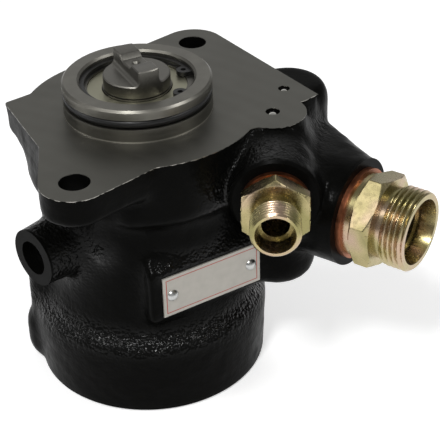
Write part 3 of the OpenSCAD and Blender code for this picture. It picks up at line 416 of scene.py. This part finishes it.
# Turned grey iron: the same metal with tool rings, and a painted highlight: a light line put into the
# colour along the spigot's root, where its fillet catches the light. The rings are drawn 3 mm apart,
# coarser than the real feed, so that they show.
TURNED_DARK, TURNED_LIGHT, ROOT_HIGHLIGHT = "#6b6963", "#84827a", "#cfccc4"
RING_STEP, RING_HEIGHT, TURNED_CLOUD = 3.14, 0.04, 6.0
ROOT_HIGHLIGHT_FULL, ROOT_HIGHLIGHT_END = 0.3, 0.6
turned_iron, tree, shader = new_material("turned_grey_iron", Metallic=1.0)
place = add(tree, "ShaderNodeTexCoord").outputs["Object"]
rings = add(tree, "ShaderNodeTexWave", {"Vector": place, "Scale": WAVE_LENGTH / (RING_STEP * MM),
                                        "Distortion": 0.2}, wave_type="BANDS", bands_direction="Z")
cloud = add(tree, "ShaderNodeTexNoise", {"Vector": place, "Scale": 1 / (TURNED_CLOUD * MM), "Detail": 3.0})
tone = add(tree, "ShaderNodeMix", {"Factor": cloud.outputs["Fac"], "A": linear(TURNED_DARK),
                                   "B": linear(TURNED_LIGHT)}, data_type="RGBA")
gloss = add(tree, "ShaderNodeMapRange", {"Value": rings.outputs["Fac"], "To Min": 0.34, "To Max": 0.44})
bump = add(tree, "ShaderNodeBump", {"Height": rings.outputs["Fac"], "Strength": 0.5,
                                    "Distance": RING_HEIGHT * MM})
height_z = add(tree, "ShaderNodeSeparateXYZ", {0: place}).outputs["Z"]
# Painted highlight: the colour turns light grey in a band up to 0.6 mm above the flange face, at the
# spigot's root.
root_highlight_fade = add(tree, "ShaderNodeMapRange", {"Value": height_z, "From Min": ROOT_HIGHLIGHT_FULL * MM,
                                           "From Max": ROOT_HIGHLIGHT_END * MM, "To Min": 1.0, "To Max": 0.0})
outside = add(tree, "ShaderNodeMath", {0: height_z, 1: 0.0}, operation="GREATER_THAN")
painted_root_highlight = add(tree, "ShaderNodeMath", {0: root_highlight_fade.outputs["Result"], 1: outside.outputs[0]},
                operation="MULTIPLY")
lit = add(tree, "ShaderNodeMix", {"Factor": painted_root_highlight.outputs[0], "A": tone.outputs["Result"],
                                  "B": linear(ROOT_HIGHLIGHT)}, data_type="RGBA")
tree.links.new(lit.outputs["Result"], shader.inputs["Base Color"])
tree.links.new(gloss.outputs["Result"], shader.inputs["Roughness"])
tree.links.new(bump.outputs["Normal"], shader.inputs["Normal"])

for material in (paint, milled, turned_iron):
    casting_mesh.materials.append(material)
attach(casting, "pump")
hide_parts("pump_housing")


# Drive shaft. Turned and ground from one steel bar, with the tang milled across its end. The edges
# of that end are broken with a small chamfer, which catches the light. Ground steel is hard and
# bright, and its fine grain is drawn at 0.8 mm so that it shows.
STEEL_DARK, STEEL_LIGHT = "#6a6862", "#807e78"
STEEL_GRAIN, STEEL_HEIGHT = 0.8, 0.04
SHAFT_BREAK, SHAFT_CORNER, SHAFT_SHARP = 0.4, 40, 28
ground_steel, tree, shader = new_material("ground_steel", Metallic=1.0)
place = add(tree, "ShaderNodeTexCoord").outputs["Object"]
grain = add(tree, "ShaderNodeTexNoise", {"Vector": place, "Scale": 1 / (STEEL_GRAIN * MM), "Detail": 4.0})
tone = add(tree, "ShaderNodeMix", {"Factor": grain.outputs["Fac"], "A": linear(STEEL_DARK),
                                   "B": linear(STEEL_LIGHT)}, data_type="RGBA")
gloss = add(tree, "ShaderNodeMapRange", {"Value": grain.outputs["Fac"], "To Min": 0.34, "To Max": 0.46})
bump = add(tree, "ShaderNodeBump", {"Height": grain.outputs["Fac"], "Strength": 0.15,
                                    "Distance": STEEL_HEIGHT * MM})
tree.links.new(tone.outputs["Result"], shader.inputs["Base Color"])
tree.links.new(gloss.outputs["Result"], shader.inputs["Roughness"])
tree.links.new(bump.outputs["Normal"], shader.inputs["Normal"])


def break_edges(copy, width, corner, wanted):
    """Chamfers the outer edges that turn by more than a corner in degrees, where they are wanted."""
    bmesh.ops.dissolve_limit(copy, angle_limit=math.radians(0.5), verts=copy.verts, edges=copy.edges)
    sharp = []
    for edge in copy.edges:
        turns = edge.is_convex and edge.calc_face_angle(0) > math.radians(corner)
        if turns and all(wanted(vert.co / MM) for vert in edge.verts):
            sharp.append(edge)
    bmesh.ops.bevel(copy, geom=sharp, offset=width * MM, offset_type="OFFSET", segments=1,
                    profile=0.5, affect="EDGES", clamp_overlap=False)


def smooth_faces(copy):
    """Shades a mesh's faces smooth, all with its first material."""
    for face in copy.faces:
        face.smooth = True
        face.material_index = 0


def finished_piece(copy, name, material):
    """An object in the scene, made of a solid's finished copy."""
    mesh = bpy.data.meshes.new(name)
    copy.to_mesh(mesh)
    mesh.materials.append(material)
    return new_object(name, mesh)


shaft_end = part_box("bearing_shield")[1].z / MM
shaft = solid_copy("drive_shaft")
break_edges(shaft, SHAFT_BREAK, SHAFT_CORNER, lambda point: point.z > shaft_end)
smooth_faces(shaft)
ground_shaft = finished_piece(shaft, "drive_shaft_ground", ground_steel)
ground_shaft.data.set_sharp_from_angle(angle=math.radians(SHAFT_SHARP))
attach(ground_shaft, "rotating_group")
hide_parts("drive_shaft")


# Bearing races and balls, the pumping cartridge and the valve spool. All are hardened steel, ground
# to size, and run in oil. The dowel pins line the cartridge up, and the plate spring presses on it.
def finish_nodes(material, *names):
    """Gives CAD nodes a finished material."""
    for name in names:
        nodes[name].data.materials.clear()
        nodes[name].data.materials.append(material)


finish_nodes(ground_steel, "bearing_outer_race", "bearing_inner_race", "bearing_balls", "cam_ring",
             "rotor", "vanes", "dowel_pins", "plate_spring", "flow_control_spool")


# Flow control spring. Coiled from round steel wire, and held between the spool and the end of the
# valve bore. The coil keeps the length it is modelled at.
wire = solid_copy("flow_control_spring")
smooth_faces(wire)
coil = finished_piece(wire, "flow_control_spring_coil", ground_steel)
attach(coil, "pump")
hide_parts("flow_control_spring")
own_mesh(coil)


# Bearing shield and cage. Both are pressed from thin steel strip with a warm, dull sheen. The shield
# snaps into the outer race, and the cage keeps the balls apart.
def mottled(name, dark, light, patch_mm, rough, **sockets):
    """A material that wanders between two colours and two roughnesses, in patches of a size."""
    material, tree, shader = new_material(name, **sockets)
    place = add(tree, "ShaderNodeTexCoord").outputs["Object"]
    patch = add(tree, "ShaderNodeTexNoise", {"Vector": place, "Scale": 1 / (patch_mm * MM), "Detail": 3.0})
    tone = add(tree, "ShaderNodeMix", {"Factor": patch.outputs["Fac"], "A": linear(dark),
                                       "B": linear(light)}, data_type="RGBA")
    gloss = add(tree, "ShaderNodeMapRange", {"Value": patch.outputs["Fac"], "From Min": 0.3,
                                             "From Max": 0.7, "To Min": rough[0], "To Max": rough[1]})
    tree.links.new(tone.outputs["Result"], shader.inputs["Base Color"])
    tree.links.new(gloss.outputs["Result"], shader.inputs["Roughness"])
    return material


pressed_steel = mottled("pressed_bearing_steel", "#a19f8a", "#b8b6a2", patch_mm=2.0, rough=(0.36, 0.5),
                        Metallic=1.0)
finish_nodes(pressed_steel, "bearing_shield", "bearing_cage")


# Circlips and retaining ring. Punched or coiled from spring steel and blackened in a hot salt bath,
# then sprung into their grooves. The black film is thin and satin.
black_oxide = mottled("black_oxide_spring_steel", "#0c0c0c", "#191817", patch_mm=1.5, rough=(0.35, 0.5))
finish_nodes(black_oxide, "bearing_circlip", "shaft_circlip", "rotor_circlip", "cover_retaining_ring")


# O-rings and shaft seal. Moulded from black nitrile rubber, with a soft sheen where they are oiled.
# They are stretched into their grooves, and the seal is pressed into its seat.
rubber = mottled("nitrile_rubber", "#050505", "#0b0b0b", patch_mm=3.0, rough=(0.34, 0.48))
finish_nodes(rubber, "pilot_o_ring", "shaft_seal", "cover_o_ring")


# Shaft bushes. Sintered from bronze powder and soaked with oil, so they are speckled and dull. They
# are pressed into the housing and the rear plate.
bronze = mottled("sintered_bronze", "#7d6435", "#a08249", patch_mm=0.8, rough=(0.35, 0.5), Metallic=1.0)
finish_nodes(bronze, "shaft_bush", "rear_bush")


# Cartridge plates and end cover. Turned from grey iron and left bare, so they have darkened in oil.
# They drop into the drum from below, and the retaining ring holds them in.
cover_iron = mottled("turned_cover_iron", "#4c4945", "#5e5a55", patch_mm=1.2, rough=(0.35, 0.48),
                     Metallic=1.0)
finish_nodes(cover_iron, "front_plate", "rear_plate", "end_cover")


# Sealing washers. Punched from soft copper sheet and crushed under the unions, so they are a dull
# red brown with brighter patches.
copper = mottled("soft_copper", "#8a5036", "#ad7152", patch_mm=2.5, rough=(0.3, 0.46), Metallic=1.0)
finish_nodes(copper, "suction_washer", "pressure_washer")


# Gallery plugs. Polished steel balls, driven into the ends of the drilled galleries in the flange.
# They are the brightest spots on it.
ball_steel = mottled("polished_ball_steel", "#c4c2bc", "#dcdad4", patch_mm=1.0, rough=(0.10, 0.2),
                     Metallic=1.0)
finish_nodes(ball_steel, "gallery_plugs")


# Side plug. A steel plug, screwed deep into its boss before painting, so that it wears the casting's
# own black paint.
finish_nodes(paint, "side_plug")


# Hose unions. Turned from hexagon steel bar, with a cut hose thread, then zinc plated and
# passivated yellow, which leaves a film between olive, gold and pink. The thread is a true helix on
# the plain cylinder that carries it.
ZINC_OLIVE, ZINC_GOLD, ZINC_PINK = "#8f885c", "#ada077", "#b9a18b"
FILM_SIZE, SPECK_SIZE, SPECK_HEIGHT = 11.0, 1.6, 0.02
THREAD_ROUND, THREAD_ALONG = 145, 90
FLANK_SLOPE, CREST_ROUND = 2.4, 0.25
zinc, tree, shader = new_material("yellow_passivated_zinc", Metallic=1.0)
place = add(tree, "ShaderNodeTexCoord").outputs["Object"]
film = add(tree, "ShaderNodeTexNoise", {"Vector": place, "Scale": 1 / (FILM_SIZE * MM), "Detail": 1.0})
tint = add(tree, "ShaderNodeValToRGB", {"Fac": film.outputs["Fac"]})
tint.color_ramp.elements[0].position = 0.32
tint.color_ramp.elements[0].color = linear(ZINC_OLIVE)
tint.color_ramp.elements[1].position = 0.70
tint.color_ramp.elements[1].color = linear(ZINC_PINK)
tint.color_ramp.elements.new(0.5).color = linear(ZINC_GOLD)
speck = add(tree, "ShaderNodeTexNoise", {"Vector": place, "Scale": 1 / (SPECK_SIZE * MM), "Detail": 1.0})
gloss = add(tree, "ShaderNodeMapRange", {"Value": speck.outputs["Fac"], "From Min": 0.3, "From Max": 0.7,
                                         "To Min": 0.22, "To Max": 0.30})
bump = add(tree, "ShaderNodeBump", {"Height": speck.outputs["Fac"], "Strength": 0.05,
                                    "Distance": SPECK_HEIGHT * MM})
tree.links.new(tint.outputs["Color"], shader.inputs["Base Color"])
tree.links.new(gloss.outputs["Result"], shader.inputs["Roughness"])
tree.links.new(bump.outputs["Normal"], shader.inputs["Normal"])

thread_tree = bpy.data.node_groups.new("cut_hose_thread", "GeometryNodeTree")
thread_tree.interface.new_socket("Geometry", in_out="OUTPUT", socket_type="NodeSocketGeometry")
thread_inputs = {}
for label in ("Radius", "Pitch", "Depth", "Length", "Bevel"):
    thread_inputs[label] = thread_tree.interface.new_socket(
        label, in_out="INPUT", socket_type="NodeSocketFloat").identifier
zinc_input = thread_tree.interface.new_socket("Material", in_out="INPUT",
                                              socket_type="NodeSocketMaterial").identifier
given = add(thread_tree, "NodeGroupInput").outputs
wall = add(thread_tree, "GeometryNodeMeshGrid", {"Size X": 1.0, "Size Y": 1.0,
                                                 "Vertices X": THREAD_ROUND,
                                                 "Vertices Y": THREAD_ALONG})
spot = add(thread_tree, "ShaderNodeSeparateXYZ",
           {0: add(thread_tree, "GeometryNodeInputPosition").outputs[0]}).outputs

# Each step of the thread's form: its name, the operation and what goes into it. A flat unit grid is
# rolled round the axis, and the groove winds along it by one pitch a turn.
value = {label: given[label] for label in thread_inputs}
value.update(x=spot["X"], y=spot["Y"])
for name, operation, *terms in (
        ("share_round", "ADD", "x", 0.5),
        ("share_along", "ADD", "y", 0.5),
        ("angle", "MULTIPLY", "share_round", 2 * math.pi),
        ("run", "MULTIPLY", "share_along", "Length"),
        ("pitches", "DIVIDE", "run", "Pitch"),
        ("turns", "SUBTRACT", "pitches", "share_round"),
        ("flank", "PINGPONG", "turns", 0.5),
        ("steep_flank", "MULTIPLY", "flank", FLANK_SLOPE),
        ("profile", "SMOOTH_MIN", "steep_flank", 1.0, CREST_ROUND),
        ("ridge", "MULTIPLY", "profile", "Depth"),
        ("root_r", "SUBTRACT", "Radius", "Depth"),
        ("thread_r", "ADD", "root_r", "ridge"),
        ("to_far_end", "SUBTRACT", "Length", "run"),
        ("from_end", "MINIMUM", "run", "to_far_end"),
        ("end_r", "SUBTRACT", "Radius", "Bevel"),
        ("bevel_r", "ADD", "end_r", "from_end"),
        ("radius", "MINIMUM", "thread_r", "bevel_r"),
        ("cosine", "COSINE", "angle"),
        ("sine", "SINE", "angle"),
        ("across", "MULTIPLY", "radius", "cosine"),
        ("upward", "MULTIPLY", "radius", "sine")):
    inputs = {i: value.get(term, term) for i, term in enumerate(terms)}
    value[name] = add(thread_tree, "ShaderNodeMath", inputs, operation=operation).outputs[0]
rolled = add(thread_tree, "ShaderNodeCombineXYZ", {"X": value["across"], "Y": value["upward"],
                                                   "Z": value["run"]})
bent = add(thread_tree, "GeometryNodeSetPosition", {"Geometry": wall.outputs["Mesh"],
                                                    "Position": rolled.outputs[0]})
sealed = add(thread_tree, "GeometryNodeMergeByDistance", {"Geometry": bent.outputs[0],
                                                          "Distance": 0.001 * MM})
smooth = add(thread_tree, "GeometryNodeSetShadeSmooth", {"Geometry": sealed.outputs[0]})
real = add(thread_tree, "GeometryNodeRealizeInstances", {"Geometry": smooth.outputs[0]})
plated = add(thread_tree, "GeometryNodeSetMaterial", {"Geometry": real.outputs[0],
                                                      "Material": given["Material"]})
add(thread_tree, "NodeGroupOutput", {"Geometry": plated.outputs[0]})

HEX_BREAK, HEX_CORNER = 0.25, 20
HEX_STEP, HEX_BACK = 1.2, 0.5
FLAT_TURN, THREAD_TURN = math.radians(12), math.radians(38)
CREST_GAP, SLACK, FACET, THIN = 0.01, 0.02, 0.05, 0.01


def hose_union(name, root, direction, thread_start, thread_end, thread_r, pitch, depth, bevel):
    """Copies a union's solid, breaks its hexagon's edges and swaps its plain wall for a thread."""
    thread = new_object(name + "_thread", bpy.data.meshes.new(name + "_thread"))
    cutter = thread.modifiers.new("thread", "NODES")
    cutter.node_group = thread_tree
    sizes = {"Radius": thread_r - CREST_GAP, "Pitch": pitch, "Depth": depth,
             "Length": thread_end - thread_start, "Bevel": bevel}
    for label, size in sizes.items():
        cutter[thread_inputs[label]] = size * MM
    cutter[zinc_input] = zinc
    ridges = plain_mesh(thread)
    ridges.set_sharp_from_angle(angle=THREAD_TURN)
    turn = Vector(direction).to_track_quat("Z", "Y").to_matrix().to_4x4()
    base = Vector(root + direction * thread_start) * MM
    ridges.transform(Matrix.Translation(base) @ turn)

    def on_hexagon(point):
        reach, away = along_axis(np.array([point]), root, direction)
        return reach[0] < thread_start - HEX_BACK and away[0] > thread_r + HEX_STEP

    blank = solid_copy(name)
    break_edges(blank, HEX_BREAK, HEX_CORNER, on_hexagon)
    plain_wall = []
    for face in blank.faces:
        corners = np.array([v.co for v in face.verts]) / MM
        reach, away = along_axis(corners, root, direction)
        on_thread = reach.min() > thread_start - SLACK and reach.max() < thread_end + SLACK
        if on_thread and away.min() > thread_r - bevel - FACET and np.ptp(reach) > THIN:
            plain_wall.append(face)
    bmesh.ops.delete(blank, geom=plain_wall, context="FACES")
    smooth_faces(blank)
    for edge in blank.edges:
        edge.smooth = edge.calc_face_angle(0) < FLAT_TURN
    blank.from_mesh(ridges)
    bmesh.ops.recalc_face_normals(blank, faces=blank.faces)
    bpy.data.objects.remove(thread)
    piece = finished_piece(blank, name + "_plated", zinc)
    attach(piece, "pump")
    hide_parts(name)


hose_union("suction_union", SUCTION_ROOT, SUCTION_DIR, thread_start=15.7, thread_end=25.2,
           thread_r=15.0, pitch=2.0, depth=1.15, bevel=0.9)
hose_union("pressure_union", PRESSURE_ROOT, PRESSURE_DIR, thread_start=12.5, thread_end=22.0,
           thread_r=9.0, pitch=1.5, depth=0.85, bevel=0.9)


# Name plate. Stamped from rolled aluminium sheet, with a thin printed red frame near its edge
# and a bare field, held to its pad by two domed drive rivets.
PLATE_METAL, PLATE_SHADE, FRAME_RED = "#bcb8b0", "#a6a29a", "#a34a40"
FRAME_INSET, FRAME_LINE, ROLL_MARK = 1.4, 0.36, 3.0
plate_sheet, tree, shader = new_material("rolled_aluminium_plate", Metallic=0.35)
place = add(tree, "ShaderNodeTexCoord").outputs["Object"]
offset = add(tree, "ShaderNodeVectorMath", {0: place, 1: tuple(PLATE_CENTRE * MM)}, operation="SUBTRACT")
to_edge = []
for direction, extent in ((tuple(PLATE_ALONG), PLATE_W), ((0.0, 0.0, 1.0), PLATE_H)):
    shift = add(tree, "ShaderNodeVectorMath", {0: offset.outputs[0], 1: direction}, operation="DOT_PRODUCT")
    size = add(tree, "ShaderNodeMath", {0: shift.outputs["Value"]}, operation="ABSOLUTE")
    to_edge.append(add(tree, "ShaderNodeMath", {0: extent / 2 * MM, 1: size.outputs[0]},
                       operation="SUBTRACT").outputs[0])
inset = add(tree, "ShaderNodeMath", {0: to_edge[0], 1: to_edge[1]}, operation="MINIMUM")
line = add(tree, "ShaderNodeMath", {0: inset.outputs[0], 1: FRAME_INSET * MM, 2: FRAME_LINE / 2 * MM},
           operation="COMPARE")
marks = add(tree, "ShaderNodeTexNoise", {"Vector": place, "Scale": 1 / (ROLL_MARK * MM), "Detail": 4.0})
sheet = add(tree, "ShaderNodeMix", {"Factor": marks.outputs["Fac"], "A": linear(PLATE_SHADE),
                                    "B": linear(PLATE_METAL)}, data_type="RGBA")
inked = add(tree, "ShaderNodeMix", {"Factor": line.outputs[0], "A": sheet.outputs["Result"],
                                    "B": linear(FRAME_RED)}, data_type="RGBA")
gloss = add(tree, "ShaderNodeMapRange", {"Value": marks.outputs["Fac"], "To Min": 0.34, "To Max": 0.5})
tree.links.new(inked.outputs["Result"], shader.inputs["Base Color"])
tree.links.new(gloss.outputs["Result"], shader.inputs["Roughness"])
finish_nodes(plate_sheet, "name_plate")
rivet_metal = mottled("drive_rivet_aluminium", "#a9aaa8", "#c4c5c3", patch_mm=1.0, rough=(0.25, 0.4),
                      Metallic=1.0)
finish_nodes(rivet_metal, "plate_rivets")


# Studio. A wide white floor under the foot ring, soft lamps over it, and a camera where the
# photograph was taken from.
CAMERA_AT = Vector((52.6, -435.5, 234.9)) * MM
CAMERA_TURN, CAMERA_DROP, CAMERA_ROLL = (math.radians(a) for a in (-3.138, 33.155, -1.703))
CAMERA_LENS = 110.15
FLOOR_HALF, FLOOR_DROP, FLOOR_GLOW = 6.0, 0.02 * MM, 0.45
SKY_LIGHT = 0.27
WHITE = (1, 1, 1, 1)
bpy.context.scene.view_settings.view_transform = "Standard"

forward = Vector((math.sin(CAMERA_TURN) * math.cos(CAMERA_DROP),
                  math.cos(CAMERA_TURN) * math.cos(CAMERA_DROP), -math.sin(CAMERA_DROP)))
sideways = Vector((math.cos(CAMERA_TURN), -math.sin(CAMERA_TURN), 0))
upright = sideways.cross(forward)
right = sideways * math.cos(CAMERA_ROLL) + upright * math.sin(CAMERA_ROLL)
up = upright * math.cos(CAMERA_ROLL) - sideways * math.sin(CAMERA_ROLL)
camera = bpy.data.objects.new("camera", bpy.data.cameras.new("camera"))
bpy.context.scene.collection.objects.link(camera)
camera.data.lens = CAMERA_LENS
camera.data.clip_start = 0.01
camera.matrix_world = Matrix((right, up, -forward)).transposed().to_4x4()
camera.location = CAMERA_AT
bpy.context.scene.camera = camera

floor_z = FOOT_Z * MM - FLOOR_DROP
floor_mesh = bpy.data.meshes.new("floor")
floor_mesh.from_pydata([(x * FLOOR_HALF, y * FLOOR_HALF, floor_z) for x, y in
                        ((-1, -1), (1, -1), (1, 1), (-1, 1))], [], [(0, 1, 2, 3)])
floor = new_object("floor", floor_mesh)
white, tree, shader = new_material("white_paper", Roughness=0.9, Specular_IOR_Level=0.0,
                                   Base_Color=linear("#f4f4f4"), Emission_Color=WHITE)
ray = add(tree, "ShaderNodeLightPath").outputs
seen = add(tree, "ShaderNodeMath", {0: ray["Is Camera Ray"], 1: ray["Is Glossy Ray"]}, operation="MAXIMUM")
seen = add(tree, "ShaderNodeMath", {0: seen.outputs[0], 1: ray["Is Transmission Ray"]},
           operation="MAXIMUM")
glow = add(tree, "ShaderNodeMath", {0: seen.outputs[0], 1: FLOOR_GLOW}, operation="MULTIPLY")
tree.links.new(glow.outputs[0], shader.inputs["Emission Strength"])
floor_mesh.materials.append(white)

world = bpy.data.worlds.new("studio")
world.use_nodes = True
bpy.context.scene.world = world
sky = world.node_tree.nodes["Background"].inputs
sky["Color"].default_value = WHITE
sky["Strength"].default_value = SKY_LIGHT


def softbox(name, place, aim, width, height, watts):
    """A rectangular lamp that faces a point. Sizes and places are in metres."""
    lamp = bpy.data.lights.new(name, "AREA")
    lamp.shape = "RECTANGLE"
    lamp.size = width
    lamp.size_y = height
    lamp.energy = watts
    obj = bpy.data.objects.new(name, lamp)
    bpy.context.scene.collection.objects.link(obj)
    obj.location = place
    obj.rotation_euler = (Vector(aim) - Vector(place)).to_track_quat("-Z", "Y").to_euler()


softbox("overhead", (-0.15, -0.65, 0.85), aim=(0, 0, -0.05), width=0.18, height=0.18, watts=5.5)
softbox("key", (-0.62, -0.30, 0.83), aim=(0.03, 0, -0.03), width=0.30, height=0.30, watts=0.7)
softbox("side", (-0.95, -0.10, 0.42), aim=(0.02, 0, -0.03), width=0.12, height=0.12, watts=1.2)
softbox("back", (-0.12, 1.00, 0.55), aim=(0, 0, -0.02), width=1.4, height=0.9, watts=1.3)
softbox("right", (0.80, -0.17, 0.78), aim=(0.02, 0, -0.05), width=0.16, height=0.16, watts=3.0)
